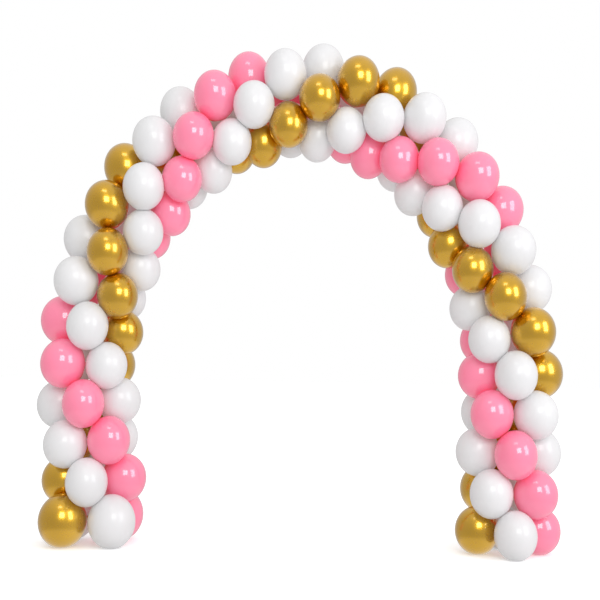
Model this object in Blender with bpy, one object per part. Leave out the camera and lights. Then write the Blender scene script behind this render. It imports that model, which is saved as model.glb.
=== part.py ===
"""Spiral balloon arch: thirty clusters of four latex balloons, each turned an eighth from the last.

Metres, +Z up. The arch stands across X with its front towards -Y, and the origin is on the floor below the middle.
"""

import math

import bmesh
import bpy
import numpy as np
from mathutils import Vector

# Balloons. Every length in height is laid out for round balloons and then drawn TALLNESS times taller.
TALLNESS = 1.173
BALLOON_GIRTH = 0.238
BALLOON_LENGTH = 0.255
CONTACT_GAP = 0.0004
CONTACT_REACH = 1.1 * BALLOON_LENGTH
PRESS_PASSES = 3

# Clusters of four, tied at the necks.
CLUSTERS = 30
CLUSTER_RADIUS = 0.177
TWIST = math.radians(45.25)
PINK_FACES_FRONT_AT = 4.03
KNOT_HALF = 0.011
NECK_HALF = 0.009

# Balloons outside a bend have more room and are larger, and so are the four of the left foot.
BEND_SWELL = 0.325
LEFT_FOOT_SWELL = 1.11

# The line through the knots: two legs and a quarter of an ellipse over each.
CROWN = 2.213
CROWN_X = 0.017
LEFT_REACH = 1.246
RIGHT_REACH = 1.203
LEFT_LEG = 0.850
RIGHT_LEG = 0.804
LEFT_TOE_IN = 0.039
FLOOR_SQUASH = 0.006
LEFT_FOOT = LEFT_FOOT_SWELL * BALLOON_GIRTH / 2 - FLOOR_SQUASH / TALLNESS
RIGHT_FOOT = BALLOON_GIRTH / 2 - FLOOR_SQUASH / TALLNESS
SLOPE_STEP = 0.1

# Facets: sides round a balloon, and rings from its crown to its neck.
SIDES, RINGS = 8, 4
FOOT_SIDES, FOOT_RINGS = 12, 5
CROWN_RING, NECK_RING = math.radians(36), math.radians(146)
SHARP_ANGLE = math.radians(70)

FRONT = Vector((0, -1, 0))
STRANDS = (("pink", 0), ("white", 90), ("gold", 180), ("white", 270))
EXTRA_PINK = (23, 1)

COLOURS = {
    "white": ((0.90, 0.89, 0.89, 1), 0.25, 0.0),
    "pink": ((0.95, 0.28, 0.42, 1), 0.22, 0.0),
    "gold": ((0.55, 0.33, 0.06, 1), 0.20, 1.0),
}


def clear_scene():
    for obj in list(bpy.data.objects):
        bpy.data.objects.remove(obj)


def material(name):
    colour, roughness, metallic = COLOURS[name]
    made = bpy.data.materials.new(f"{name}_latex")
    made.use_nodes = True
    shader = made.node_tree.nodes["Principled BSDF"]
    shader.inputs["Base Color"].default_value = colour
    shader.inputs["Roughness"].default_value = roughness
    shader.inputs["Metallic"].default_value = metallic
    return made


def centreline(steps=1200):
    """X and Z along the line through the knots, from the left foot over the crown to the right foot."""
    up = np.linspace(0, 1, steps, endpoint=False)
    turn = np.linspace(0, math.pi / 2, steps)
    level = LEFT_FOOT + SLOPE_STEP
    rise = np.clip((up * LEFT_LEG - level) / (LEFT_LEG - level), 0, 1)
    toe_in = LEFT_TOE_IN * (1 - rise * rise * (3 - 2 * rise))
    x = [toe_in - LEFT_REACH, -LEFT_REACH * np.cos(turn), (RIGHT_REACH * np.cos(turn))[-2::-1]]
    x.append(np.full(steps, RIGHT_REACH))
    z = [up * LEFT_LEG, LEFT_LEG + (CROWN - LEFT_LEG) * np.sin(turn)]
    z += [(RIGHT_LEG + (CROWN - RIGHT_LEG) * np.sin(turn))[-2::-1], (up * RIGHT_LEG)[::-1]]
    return np.concatenate(x) + CROWN_X, np.concatenate(z)


def cluster_frames():
    """Each cluster's centre, the directions along the line and out of the arch, and the bend there."""
    x, z = centreline()
    run = np.concatenate([[0], np.cumsum(np.hypot(np.diff(x), np.diff(z)))])
    frames = []
    for at in np.linspace(LEFT_FOOT, run[-1] - RIGHT_FOOT, CLUSTERS):
        before, here, after = (
            Vector((np.interp(place, run, x), 0, np.interp(place, run, z)))
            for place in (at - SLOPE_STEP, at, at + SLOPE_STEP)
        )
        along = (after - before).normalized()
        bend = (here - before).cross(after - here).y / SLOPE_STEP**3
        frames.append((here, along, Vector((-along.z, 0, along.x)), bend))
    return frames


class Balloon:
    """One balloon before the stretch in height: its cluster, colour, size, centre and axes."""

    def __init__(self, cluster, strand, frame):
        centre, self.along, outward, bend = frame
        self.cluster = cluster
        self.knot = centre
        self.colour, offset = STRANDS[strand]
        if (cluster, strand) == EXTRA_PINK:
            self.colour = "pink"
        angle = (cluster - PINK_FACES_FRONT_AT) * TWIST + math.radians(offset)
        self.axis = math.cos(angle) * FRONT + math.sin(angle) * outward
        self.across = self.along.cross(self.axis)
        self.size = 1 + BEND_SWELL * CLUSTER_RADIUS * bend * self.axis.dot(outward)
        if cluster == 1:
            self.size *= LEFT_FOOT_SWELL
        self.centre = centre + self.size * CLUSTER_RADIUS * self.axis
        self.contacts = []

    def press(self, point):
        """Moves a point back behind the flat where a neighbour presses."""
        for _ in range(PRESS_PASSES):
            for middle, normal in self.contacts:
                over = (point - middle).dot(normal) + CONTACT_GAP / 2
                if over > 0:
                    point = point - over * normal
        return point

    def ring(self, polar, sides, stagger):
        """Points round the balloon at this angle from its crown, as far outside it as inside."""
        girth = self.size * BALLOON_GIRTH / (1 + math.cos(math.pi / sides))
        middle = self.centre + self.size * BALLOON_LENGTH / 2 * math.cos(polar) * self.axis
        points = []
        for i in range(sides):
            turn = 2 * math.pi * (i + stagger) / sides
            side = math.cos(turn) * self.across + math.sin(turn) * self.along
            points.append(self.press(middle + girth * math.sin(polar) * side))
        return points


def find_contacts(balloons):
    """Gives each pair of balloons that lie side by side the plane where their surfaces would cross."""
    for i, one in enumerate(balloons):
        for other in balloons[i + 1 :]:
            if other.cluster - one.cluster > 1:
                break
            between = other.centre - one.centre
            if between.length > CONTACT_REACH:
                continue
            lead = (one.size**2 - other.size**2) * BALLOON_GIRTH**2 / (8 * between.length)
            middle = one.centre + (between.length / 2 + lead) * between.normalized()
            one.contacts.append((middle, between.normalized()))
            other.contacts.append((middle, -between.normalized()))


def join_ring(mesh, below, above, slot):
    """Triangles between two rings of like count, the one above half a step ahead."""
    count = len(below)
    for i in range(count):
        j = (i + 1) % count
        for corners in ((below[i], below[j], above[i]), (above[i], below[j], above[j])):
            mesh.faces.new(corners).material_index = slot


def add_balloon(mesh, balloon, neck, slot, sides, rings):
    """Crown, rings and neck of one balloon, ending in the knot's four corners on its side."""
    step = (NECK_RING - CROWN_RING) / (rings - 1)
    before = None
    for k in range(rings):
        stagger = 0.5 * ((rings - 1 - k) % 2)
        points = balloon.ring(CROWN_RING + k * step, sides, stagger)
        now = [mesh.verts.new(point) for point in points]
        if before is None:
            crown = mesh.verts.new(balloon.centre + balloon.size * BALLOON_LENGTH / 2 * balloon.axis)
            for i in range(sides):
                mesh.faces.new((crown, now[(i + 1) % sides], now[i])).material_index = slot
        elif stagger:
            join_ring(mesh, now[-1:] + now[:-1], before, slot)
        else:
            join_ring(mesh, now, before, slot)
        before = now
    quarter = sides // 4
    for corner in range(4):
        for i in range(corner * quarter, (corner + 1) * quarter):
            face = (neck[corner], before[(i + 1) % sides], before[i % sides])
            mesh.faces.new(face).material_index = slot
        last = before[(corner + 1) * quarter % sides]
        mesh.faces.new((neck[corner], neck[(corner + 1) % 4], last)).material_index = slot


def add_knot(mesh, balloons):
    """The lump of tied necks. Returns the corners that each balloon's neck grows from."""
    knot = balloons[0].knot
    along = balloons[0].along
    corners = []
    for side in (-1, 1):
        for one, other in zip(balloons, balloons[1:] + balloons[:1]):
            out = KNOT_HALF * (one.axis + other.axis)
            corners.append(mesh.verts.new(knot + out + side * NECK_HALF * along))
    mesh.faces.new(corners[3::-1])
    mesh.faces.new(corners[4:])
    necks = []
    for i in range(4):
        low, high = corners[:4], corners[4:]
        necks.append((high[i - 1], high[i], low[i], low[i - 1]))
    return necks


def cut_at_floor(mesh):
    """Flattens what reaches below the floor, and closes the cut with a flat face."""
    cut = bmesh.ops.bisect_plane(
        mesh,
        geom=mesh.verts[:] + mesh.edges[:] + mesh.faces[:],
        plane_co=(0, 0, 0),
        plane_no=(0, 0, -1),
        clear_outer=True,
    )
    edges = [e for e in cut["geom_cut"] if isinstance(e, bmesh.types.BMEdge)]
    bmesh.ops.holes_fill(mesh, edges=edges, sides=0)


def make_cluster(number, balloons, materials, root):
    foot = number in (1, CLUSTERS)
    sides, rings = (FOOT_SIDES, FOOT_RINGS) if foot else (SIDES, RINGS)
    mesh = bmesh.new()
    necks = add_knot(mesh, balloons)
    for balloon, neck in zip(balloons, necks):
        slot = list(COLOURS).index(balloon.colour)
        add_balloon(mesh, balloon, neck, slot, sides, rings)
    bmesh.ops.scale(mesh, vec=(1, 1, TALLNESS), verts=mesh.verts)
    if foot:
        cut_at_floor(mesh)
    bmesh.ops.recalc_face_normals(mesh, faces=mesh.faces)
    knot = balloons[0].knot
    place = Vector((knot.x, knot.y, knot.z * TALLNESS))
    bmesh.ops.translate(mesh, vec=-place, verts=mesh.verts)
    data = bpy.data.meshes.new(f"balloon_cluster_{number:02d}")
    mesh.to_mesh(data)
    mesh.free()
    for each in materials:
        data.materials.append(each)
    data.shade_smooth()
    data.set_sharp_from_angle(angle=SHARP_ANGLE)
    cluster = bpy.data.objects.new(data.name, data)
    cluster.location = place
    cluster.parent = root
    bpy.context.scene.collection.objects.link(cluster)


clear_scene()
arch = bpy.data.objects.new("balloon_arch", None)
bpy.context.scene.collection.objects.link(arch)
latex = [material(name) for name in COLOURS]
all_balloons = [
    Balloon(number, strand, frame)
    for number, frame in enumerate(cluster_frames(), start=1)
    for strand in range(len(STRANDS))
]
find_contacts(all_balloons)
for number in range(1, CLUSTERS + 1):
    four = [balloon for balloon in all_balloons if balloon.cluster == number]
    make_cluster(number, four, latex, arch)
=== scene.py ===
import math

import bpy
import numpy as np
from mathutils import Matrix, Vector


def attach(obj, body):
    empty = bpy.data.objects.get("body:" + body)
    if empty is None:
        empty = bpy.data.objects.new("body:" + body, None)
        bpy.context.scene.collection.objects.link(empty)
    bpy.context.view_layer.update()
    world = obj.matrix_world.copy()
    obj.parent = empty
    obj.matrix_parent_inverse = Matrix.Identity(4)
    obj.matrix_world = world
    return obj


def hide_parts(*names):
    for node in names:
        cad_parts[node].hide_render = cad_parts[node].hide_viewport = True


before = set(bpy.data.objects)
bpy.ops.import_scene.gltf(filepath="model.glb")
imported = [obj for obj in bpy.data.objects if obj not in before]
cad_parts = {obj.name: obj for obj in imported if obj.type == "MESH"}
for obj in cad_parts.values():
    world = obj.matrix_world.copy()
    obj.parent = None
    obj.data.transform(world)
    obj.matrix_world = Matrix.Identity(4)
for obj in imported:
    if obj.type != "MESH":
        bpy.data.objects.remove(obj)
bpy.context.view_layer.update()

# The camera stands a little to the right of the arch's middle, at chest height, and looks slightly up.
# Its lens takes in the whole arch on a square picture.
PICTURE_PX = 600
FOCAL_PX = 1019.8
SENSOR_MM = 36
CAMERA_PLACE = Vector((0.222, -5.968, 1.100))
CAMERA_TURN = math.radians(-2.13)
CAMERA_TILT = math.radians(3.26)
CAMERA_ROLL = math.radians(-1.12)

forward = Vector((
    math.sin(CAMERA_TURN) * math.cos(CAMERA_TILT),
    math.cos(CAMERA_TURN) * math.cos(CAMERA_TILT),
    math.sin(CAMERA_TILT),
))
level_right = Vector((math.cos(CAMERA_TURN), -math.sin(CAMERA_TURN), 0))
level_up = level_right.cross(forward)
right = math.cos(CAMERA_ROLL) * level_right - math.sin(CAMERA_ROLL) * level_up
up = math.sin(CAMERA_ROLL) * level_right + math.cos(CAMERA_ROLL) * level_up

camera_data = bpy.data.cameras.new("camera")
camera_data.sensor_width = SENSOR_MM
camera_data.lens = FOCAL_PX / PICTURE_PX * SENSOR_MM
camera = bpy.data.objects.new("camera", camera_data)
camera.matrix_world = Matrix.Translation(CAMERA_PLACE) @ Matrix((right, up, -forward)).transposed().to_4x4()
bpy.context.scene.collection.objects.link(camera)
bpy.context.scene.camera = camera


# One round balloon, blown up to about two thirds of its full size so that it stays round. It is a skin of
# thin latex, thickest at the crown and towards the neck, where it is stretched least. The neck is pulled
# narrow and tied off in a small rolled knot. Modelled once, crown up, with its middle at the origin.
BALLOON_GIRTH = 0.238
BALLOON_LENGTH = 0.255
CLUSTER_RADIUS = 0.177
SIDES, RINGS = 72, 46
OPEN_BELOW = -0.985
NECK_STEPS = ((0.75, 0.004), (0.72, 0.006), (0.80, 0.009), (0.92, 0.008))
KNOT_STEPS = ((1.35, 0.0015), (1.12, 0.0025), (0.92, 0.002), (0.55, 0.0012))
PEAR_PULL = 0.90
PEAR_REACH = 0.11


def select_where(obj, wanted):
    """In edit mode, selects just the vertices whose position passes the test."""
    bpy.ops.mesh.select_mode(type="VERT")
    bpy.ops.mesh.select_all(action="DESELECT")
    bpy.ops.object.mode_set(mode="OBJECT")
    for vertex in obj.data.vertices:
        vertex.select = wanted(vertex.co)
    bpy.ops.object.mode_set(mode="EDIT")


def lowest(obj):
    bpy.ops.object.mode_set(mode="OBJECT")
    height = min(vertex.co.z for vertex in obj.data.vertices)
    bpy.ops.object.mode_set(mode="EDIT")
    return height


bpy.ops.object.select_all(action="DESELECT")
bpy.ops.mesh.primitive_uv_sphere_add(segments=SIDES, ring_count=RINGS, radius=BALLOON_GIRTH / 2)
pattern = bpy.context.object
pattern.name = "balloon_pattern"
bpy.ops.object.mode_set(mode="EDIT")
bpy.ops.mesh.select_all(action="SELECT")
bpy.ops.transform.resize(value=(1, 1, BALLOON_LENGTH / BALLOON_GIRTH))
select_where(pattern, lambda co: co.z < OPEN_BELOW * BALLOON_LENGTH / 2)
bpy.ops.transform.resize(
    value=(PEAR_PULL, PEAR_PULL, 1),
    use_proportional_edit=True,
    proportional_edit_falloff="SMOOTH",
    proportional_size=PEAR_REACH,
)
bpy.ops.mesh.delete(type="VERT")
rim = lowest(pattern)
select_where(pattern, lambda co: co.z < rim + 1e-5)
for narrowing, step in NECK_STEPS + KNOT_STEPS:
    bpy.ops.mesh.extrude_region_move(TRANSFORM_OT_translate={"value": (0, 0, -step)})
    bpy.ops.transform.resize(value=(narrowing, narrowing, 1))
bpy.ops.mesh.edge_face_add()
bpy.ops.mesh.select_all(action="SELECT")
bpy.ops.mesh.normals_make_consistent(inside=False)
bpy.ops.object.mode_set(mode="OBJECT")
bpy.ops.object.shade_smooth()

pattern_points = np.array([vertex.co for vertex in pattern.data.vertices])
crown_height = pattern_points[:, 2].max()
towards_neck = (crown_height - pattern_points[:, 2]) / (crown_height - pattern_points[:, 2].min())
pattern.data.attributes.new("towards_neck", "FLOAT", "POINT").data.foreach_set(
    "value", towards_neck.astype(np.float32)
)


# The latex of all three colours has the same habits: deeper in colour where the skin is stretched least, a
# faint difference from balloon to balloon, and a smooth surface with a trace of unevenness.
def group_socket(group, name, kind, direction, default=None):
    socket = group.interface.new_socket(name=name, in_out=direction, socket_type=kind)
    if default is not None:
        socket.default_value = default


def make_latex_group():
    group = bpy.data.node_groups.new("latex_skin", "ShaderNodeTree")
    group_socket(group, "Stretched Colour", "NodeSocketColor", "INPUT", (1, 1, 1, 1))
    group_socket(group, "Neck Colour", "NodeSocketColor", "INPUT", (1, 1, 1, 1))
    group_socket(group, "Gloss", "NodeSocketFloat", "INPUT", 0.2)
    group_socket(group, "Colour", "NodeSocketColor", "OUTPUT")
    group_socket(group, "Roughness", "NodeSocketFloat", "OUTPUT")
    group_socket(group, "Height", "NodeSocketFloat", "OUTPUT")
    nodes, links = group.nodes, group.links
    inputs, outputs = nodes.new("NodeGroupInput"), nodes.new("NodeGroupOutput")
    place = nodes.new("ShaderNodeTexCoord")

    skin = nodes.new("ShaderNodeAttribute")
    skin.attribute_name = "towards_neck"
    thick = nodes.new("ShaderNodeMapRange")
    thick.interpolation_type = "SMOOTHSTEP"
    thick.inputs["From Min"].default_value = 0.55
    thick.inputs["From Max"].default_value = 0.86
    links.new(skin.outputs["Fac"], thick.inputs["Value"])
    colour = nodes.new("ShaderNodeMix")
    colour.data_type = "RGBA"
    links.new(thick.outputs["Result"], colour.inputs["Factor"])
    links.new(inputs.outputs["Stretched Colour"], colour.inputs["A"])
    links.new(inputs.outputs["Neck Colour"], colour.inputs["B"])

    batch = nodes.new("ShaderNodeTexNoise")
    batch.inputs["Scale"].default_value = 4.0
    batch.inputs["Detail"].default_value = 1.0
    links.new(place.outputs["Object"], batch.inputs["Vector"])
    tint = nodes.new("ShaderNodeMapRange")
    tint.inputs["From Min"].default_value = 0.3
    tint.inputs["From Max"].default_value = 0.7
    tint.inputs["To Min"].default_value = 0.96
    tint.inputs["To Max"].default_value = 1.03
    links.new(batch.outputs["Fac"], tint.inputs["Value"])
    tinted = nodes.new("ShaderNodeVectorMath")
    tinted.operation = "SCALE"
    links.new(colour.outputs["Result"], tinted.inputs[0])
    links.new(tint.outputs["Result"], tinted.inputs["Scale"])
    links.new(tinted.outputs["Vector"], outputs.inputs["Colour"])

    film = nodes.new("ShaderNodeTexNoise")
    film.inputs["Scale"].default_value = 25.0
    film.inputs["Detail"].default_value = 1.0
    links.new(place.outputs["Object"], film.inputs["Vector"])
    links.new(film.outputs["Fac"], outputs.inputs["Height"])
    haze = nodes.new("ShaderNodeMapRange")
    haze.inputs["To Min"].default_value = -0.03
    haze.inputs["To Max"].default_value = 0.03
    links.new(film.outputs["Fac"], haze.inputs["Value"])
    gloss = nodes.new("ShaderNodeMath")
    links.new(inputs.outputs["Gloss"], gloss.inputs[0])
    links.new(haze.outputs["Result"], gloss.inputs[1])
    links.new(gloss.outputs["Value"], outputs.inputs["Roughness"])
    return group


latex_skin = make_latex_group()


def make_latex(name, stretched, neck, gloss, ior, film, film_gloss, painted_glow, metallic=0.0):
    made = bpy.data.materials.new(name)
    made.use_nodes = True
    nodes, links = made.node_tree.nodes, made.node_tree.links
    shader = nodes["Principled BSDF"]
    shader.inputs["Metallic"].default_value = metallic
    shader.inputs["IOR"].default_value = ior
    shader.inputs["Coat Weight"].default_value = film
    shader.inputs["Coat IOR"].default_value = ior
    shader.inputs["Coat Roughness"].default_value = film_gloss
    # The emission is painted light: a faint glow, though the latex is no lamp, standing in for light that passes
    # through the thin skin and lifts the shade in the gaps and contacts between balloons.
    shader.inputs["Emission Color"].default_value = (*painted_glow, 1)
    shader.inputs["Emission Strength"].default_value = 1.0
    skin = nodes.new("ShaderNodeGroup")
    skin.node_tree = latex_skin
    skin.inputs["Stretched Colour"].default_value = (*stretched, 1)
    skin.inputs["Neck Colour"].default_value = (*neck, 1)
    skin.inputs["Gloss"].default_value = gloss
    bump = nodes.new("ShaderNodeBump")
    bump.inputs["Strength"].default_value = 0.03
    bump.inputs["Distance"].default_value = 0.002
    links.new(skin.outputs["Colour"], shader.inputs["Base Color"])
    links.new(skin.outputs["Roughness"], shader.inputs["Roughness"])
    links.new(skin.outputs["Height"], bump.inputs["Height"])
    links.new(bump.outputs["Normal"], shader.inputs["Normal"])
    return made


# The glow given to each colour is painted light that lightens and tints the shaded gaps between balloons: grey-white,
# deep pink and orange-gold.
LATEX = {
    "white": make_latex(
        "white_latex", (0.645, 0.64, 0.645), (0.70, 0.69, 0.67), gloss=0.40, ior=1.52, film=0.45, film_gloss=0.16,
        painted_glow=(0.10, 0.10, 0.10),
    ),
    "pink": make_latex(
        "pink_latex", (0.74, 0.175, 0.31), (0.70, 0.11, 0.22), gloss=0.62, ior=1.76, film=1.0, film_gloss=0.10,
        painted_glow=(0.24, 0.018, 0.03),
    ),
    "gold": make_latex(
        "gold_latex", (0.61, 0.345, 0.006), (0.52, 0.26, 0.004), gloss=0.28, ior=1.60, film=1.0, film_gloss=0.10,
        painted_glow=(0.03, 0.01, 0.0), metallic=1.0,
    ),
}


# The arch: four balloons tied at their necks make a cluster, and thirty clusters nest into each other along
# a line of two legs and a quarter of an ellipse over each. Each cluster is turned a little over an eighth
# of a turn from the last, which winds the colours round. Lengths in height are drawn TALLNESS times taller.
TALLNESS = 1.173
CLUSTERS = 30
TWIST = math.radians(45.25)
PINK_FACES_FRONT_AT = 4.03
BEND_SWELL = 0.325
LEFT_FOOT_SWELL = 1.11
CROWN = 2.213
CROWN_X = 0.017
LEFT_REACH, RIGHT_REACH = 1.246, 1.203
LEFT_LEG, RIGHT_LEG = 0.850, 0.804
LEFT_TOE_IN = 0.039
FLOOR_SQUASH = 0.006
LEFT_FOOT = LEFT_FOOT_SWELL * BALLOON_GIRTH / 2 - FLOOR_SQUASH / TALLNESS
RIGHT_FOOT = BALLOON_GIRTH / 2 - FLOOR_SQUASH / TALLNESS
SLOPE_STEP = 0.1
FRONT = Vector((0, -1, 0))
STRANDS = (("pink", 0), ("white", 90), ("gold", 180), ("white", 270))
EXTRA_PINK = (23, 1)


def centreline(steps=1200):
    """X and Z along the line through the knots, from the left foot over the crown to the right foot."""
    rise = np.linspace(0, 1, steps, endpoint=False)
    turn = np.linspace(0, math.pi / 2, steps)
    level = LEFT_FOOT + SLOPE_STEP
    lifted = np.clip((rise * LEFT_LEG - level) / (LEFT_LEG - level), 0, 1)
    toe_in = LEFT_TOE_IN * (1 - lifted * lifted * (3 - 2 * lifted))
    x = [toe_in - LEFT_REACH, -LEFT_REACH * np.cos(turn), (RIGHT_REACH * np.cos(turn))[-2::-1]]
    x.append(np.full(steps, RIGHT_REACH))
    z = [rise * LEFT_LEG, LEFT_LEG + (CROWN - LEFT_LEG) * np.sin(turn)]
    z += [(RIGHT_LEG + (CROWN - RIGHT_LEG) * np.sin(turn))[-2::-1], (rise * RIGHT_LEG)[::-1]]
    return np.concatenate(x) + CROWN_X, np.concatenate(z)


def lay_out_balloons():
    """Cluster, colour, size, middle and axes of every balloon, before the stretch in height."""
    x, z = centreline()
    run = np.concatenate([[0], np.cumsum(np.hypot(np.diff(x), np.diff(z)))])
    placed = []
    for number, at in enumerate(np.linspace(LEFT_FOOT, run[-1] - RIGHT_FOOT, CLUSTERS), start=1):
        before, knot, after = (
            Vector((np.interp(spot, run, x), 0, np.interp(spot, run, z)))
            for spot in (at - SLOPE_STEP, at, at + SLOPE_STEP)
        )
        along = (after - before).normalized()
        outward = Vector((-along.z, 0, along.x))
        bend = (knot - before).cross(after - knot).y / SLOPE_STEP**3
        for strand, (colour, offset) in enumerate(STRANDS):
            angle = (number - PINK_FACES_FRONT_AT) * TWIST + math.radians(offset)
            axis = math.cos(angle) * FRONT + math.sin(angle) * outward
            size = 1 + BEND_SWELL * CLUSTER_RADIUS * bend * axis.dot(outward)
            if number == 1:
                size *= LEFT_FOOT_SWELL
            placed.append({
                "cluster": number,
                "colour": "pink" if (number, strand) == EXTRA_PINK else colour,
                "size": size,
                "middle": knot + size * CLUSTER_RADIUS * axis,
                "turn": Matrix((along.cross(axis), along, axis)).transposed().to_4x4(),
            })
    return placed


# Where two balloons press on each other, both skins flatten to a shared disc with a rounded edge, and the
# balloons of the feet flatten the same way on the floor.
CONTACT_GAP = 0.0004
CONTACT_REACH = 1.1 * BALLOON_LENGTH
EDGE_ROUNDING = 0.0015


def press(points, middle, normal, gap, rounding):
    """Moves the points back behind a plane, with a rounded turn into the flat."""
    depth = (points - middle) @ normal + gap
    kept = -rounding * np.logaddexp(0, -depth / rounding)
    return points + np.outer(kept - depth, normal)


balloons = lay_out_balloons()
counts = {colour: 0 for colour in LATEX}
for balloon in balloons:
    colour = balloon["colour"]
    counts[colour] += 1
    mesh = pattern.data.copy()
    mesh.name = f"{colour}_balloon_{counts[colour]:02d}"
    mesh.transform(Matrix.Translation(balloon["middle"]) @ balloon["turn"] @ Matrix.Scale(balloon["size"], 4))
    points = np.zeros(len(mesh.vertices) * 3, np.float32)
    mesh.vertices.foreach_get("co", points)
    points = points.reshape(-1, 3).astype(float)
    for other in balloons:
        between = other["middle"] - balloon["middle"]
        if other is balloon or abs(other["cluster"] - balloon["cluster"]) > 1 or between.length > CONTACT_REACH:
            continue
        lead = (balloon["size"] ** 2 - other["size"] ** 2) * BALLOON_GIRTH**2 / (8 * between.length)
        touch = balloon["middle"] + (between.length / 2 + lead) * between.normalized()
        points = press(points, np.array(touch), np.array(between.normalized()), CONTACT_GAP / 2, EDGE_ROUNDING)
    if balloon["cluster"] in (1, CLUSTERS):
        points = press(points, np.zeros(3), np.array((0.0, 0.0, -1.0)), 0, EDGE_ROUNDING)
    points[:, 2] *= TALLNESS
    mesh.vertices.foreach_set("co", points.astype(np.float32).ravel())
    mesh.update()
    mesh.materials.clear()
    mesh.materials.append(LATEX[colour])
    piece = bpy.data.objects.new(mesh.name, mesh)
    bpy.context.scene.collection.objects.link(piece)
    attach(piece, "root")
    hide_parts(f"balloon_cluster_{balloon['cluster']:02d}")
bpy.data.objects.remove(pattern)


# The studio: a plain pale floor, a white surround, two softboxes at the front right and a strip overhead.
# Balloons see a dim room ahead, lighter to the right and above, and the light floor below.
FLOOR_RADIUS = 40
FLOOR_DROP = 0.0006
FLOOR_SEEN = 0.93
FLOOR_LIFT = 0.35
FLOOR_BOUNCE = 0.80
SOFTBOXES = (
    # name, towards it, width, height, watts, colour
    ("softbox_left", (0.18, -0.92, 0.34), 4.9, 4.6, 375, (1, 1, 1)),
    ("softbox_right", (0.78, -0.565, 0.275), 4.5, 6.6, 385, (0.94, 0.95, 1)),
    ("strip_overhead", (-0.08, -0.59, 0.80), 4.0, 2.0, 70, (1, 1, 1)),
)
SOFTBOX_DISTANCE = 12
ROOM_TARGET = Vector((0, 0, 1.4))
ROOM_HEIGHTS = (
    # sine of the height above the horizon, brightness
    (-1.0, 0.92), (-0.53, 0.90), (-0.38, 0.62), (0.0, 0.60), (0.40, 0.66), (0.70, 0.80), (0.93, 0.95), (1.0, 0.95),
)
ROOM_RIGHT_GAIN = 0.12
ROOM_SIDE_GAIN = 0.14

bpy.ops.object.select_all(action="DESELECT")
bpy.ops.mesh.primitive_circle_add(vertices=96, radius=FLOOR_RADIUS, fill_type="NGON", location=(0, 0, -FLOOR_DROP))
floor = bpy.context.object
floor.name = "studio_floor"
floor.visible_glossy = False
floor_paint = bpy.data.materials.new("floor_paint")
floor_paint.use_nodes = True
nodes, links = floor_paint.node_tree.nodes, floor_paint.node_tree.links
nodes.clear()
seen, lift = nodes.new("ShaderNodeBsdfDiffuse"), nodes.new("ShaderNodeEmission")
seen.inputs["Color"].default_value = (FLOOR_SEEN, FLOOR_SEEN, FLOOR_SEEN, 1)
lift.inputs["Strength"].default_value = FLOOR_LIFT
both, felt = nodes.new("ShaderNodeAddShader"), nodes.new("ShaderNodeBsdfDiffuse")
felt.inputs["Color"].default_value = (FLOOR_BOUNCE, FLOOR_BOUNCE, FLOOR_BOUNCE, 1)
ray, mix, out = nodes.new("ShaderNodeLightPath"), nodes.new("ShaderNodeMixShader"), nodes.new("ShaderNodeOutputMaterial")
links.new(seen.outputs["BSDF"], both.inputs[0])
links.new(lift.outputs["Emission"], both.inputs[1])
links.new(ray.outputs["Is Camera Ray"], mix.inputs["Fac"])
links.new(felt.outputs["BSDF"], mix.inputs[1])
links.new(both.outputs["Shader"], mix.inputs[2])
links.new(mix.outputs["Shader"], out.inputs["Surface"])
floor.data.materials.append(floor_paint)

for name, aim, width, height, watts, colour in SOFTBOXES:
    box = bpy.data.lights.new(name, "AREA")
    box.shape = "RECTANGLE"
    box.size, box.size_y = width, height
    box.energy = watts
    box.color = colour
    lamp = bpy.data.objects.new(name, box)
    lamp.location = ROOM_TARGET + SOFTBOX_DISTANCE * Vector(aim).normalized()
    lamp.rotation_euler = Vector(aim).to_track_quat("Z", "Y").to_euler()
    lamp.visible_camera = False
    bpy.context.scene.collection.objects.link(lamp)

world = bpy.data.worlds.new("studio")
bpy.context.scene.world = world
world.use_nodes = True
nodes, links = world.node_tree.nodes, world.node_tree.links
nodes.clear()
where = nodes.new("ShaderNodeTexCoord")
split = nodes.new("ShaderNodeSeparateXYZ")
links.new(where.outputs["Generated"], split.inputs["Vector"])
height = nodes.new("ShaderNodeMapRange")
height.inputs["From Min"].default_value = -1
links.new(split.outputs["Z"], height.inputs["Value"])
room = nodes.new("ShaderNodeValToRGB")
ramp = room.color_ramp.elements
while len(ramp) > 1:
    ramp.remove(ramp[-1])
for stop, (sine, level) in enumerate(ROOM_HEIGHTS):
    element = ramp[0] if stop == 0 else ramp.new((sine + 1) / 2)
    element.position = (sine + 1) / 2
    element.color = (level, level, level, 1)
links.new(height.outputs["Result"], room.inputs["Fac"])
slope = nodes.new("ShaderNodeMath")
slope.operation = "MULTIPLY_ADD"
slope.inputs[1].default_value = ROOM_SIDE_GAIN
slope.inputs[2].default_value = ROOM_RIGHT_GAIN
links.new(split.outputs["X"], slope.inputs[0])
side = nodes.new("ShaderNodeMath")
side.operation = "MULTIPLY_ADD"
side.inputs[2].default_value = 1
links.new(split.outputs["X"], side.inputs[0])
links.new(slope.outputs["Value"], side.inputs[1])
seen, felt = nodes.new("ShaderNodeBackground"), nodes.new("ShaderNodeBackground")
seen.inputs["Color"].default_value = (1, 1, 1, 1)
links.new(room.outputs["Color"], felt.inputs["Color"])
links.new(side.outputs["Value"], felt.inputs["Strength"])
ray, mix, out = nodes.new("ShaderNodeLightPath"), nodes.new("ShaderNodeMixShader"), nodes.new("ShaderNodeOutputWorld")
links.new(ray.outputs["Is Camera Ray"], mix.inputs["Fac"])
links.new(felt.outputs["Background"], mix.inputs[1])
links.new(seen.outputs["Background"], mix.inputs[2])
links.new(mix.outputs["Shader"], out.inputs["Surface"])
bpy.context.scene.view_settings.view_transform = "Standard"
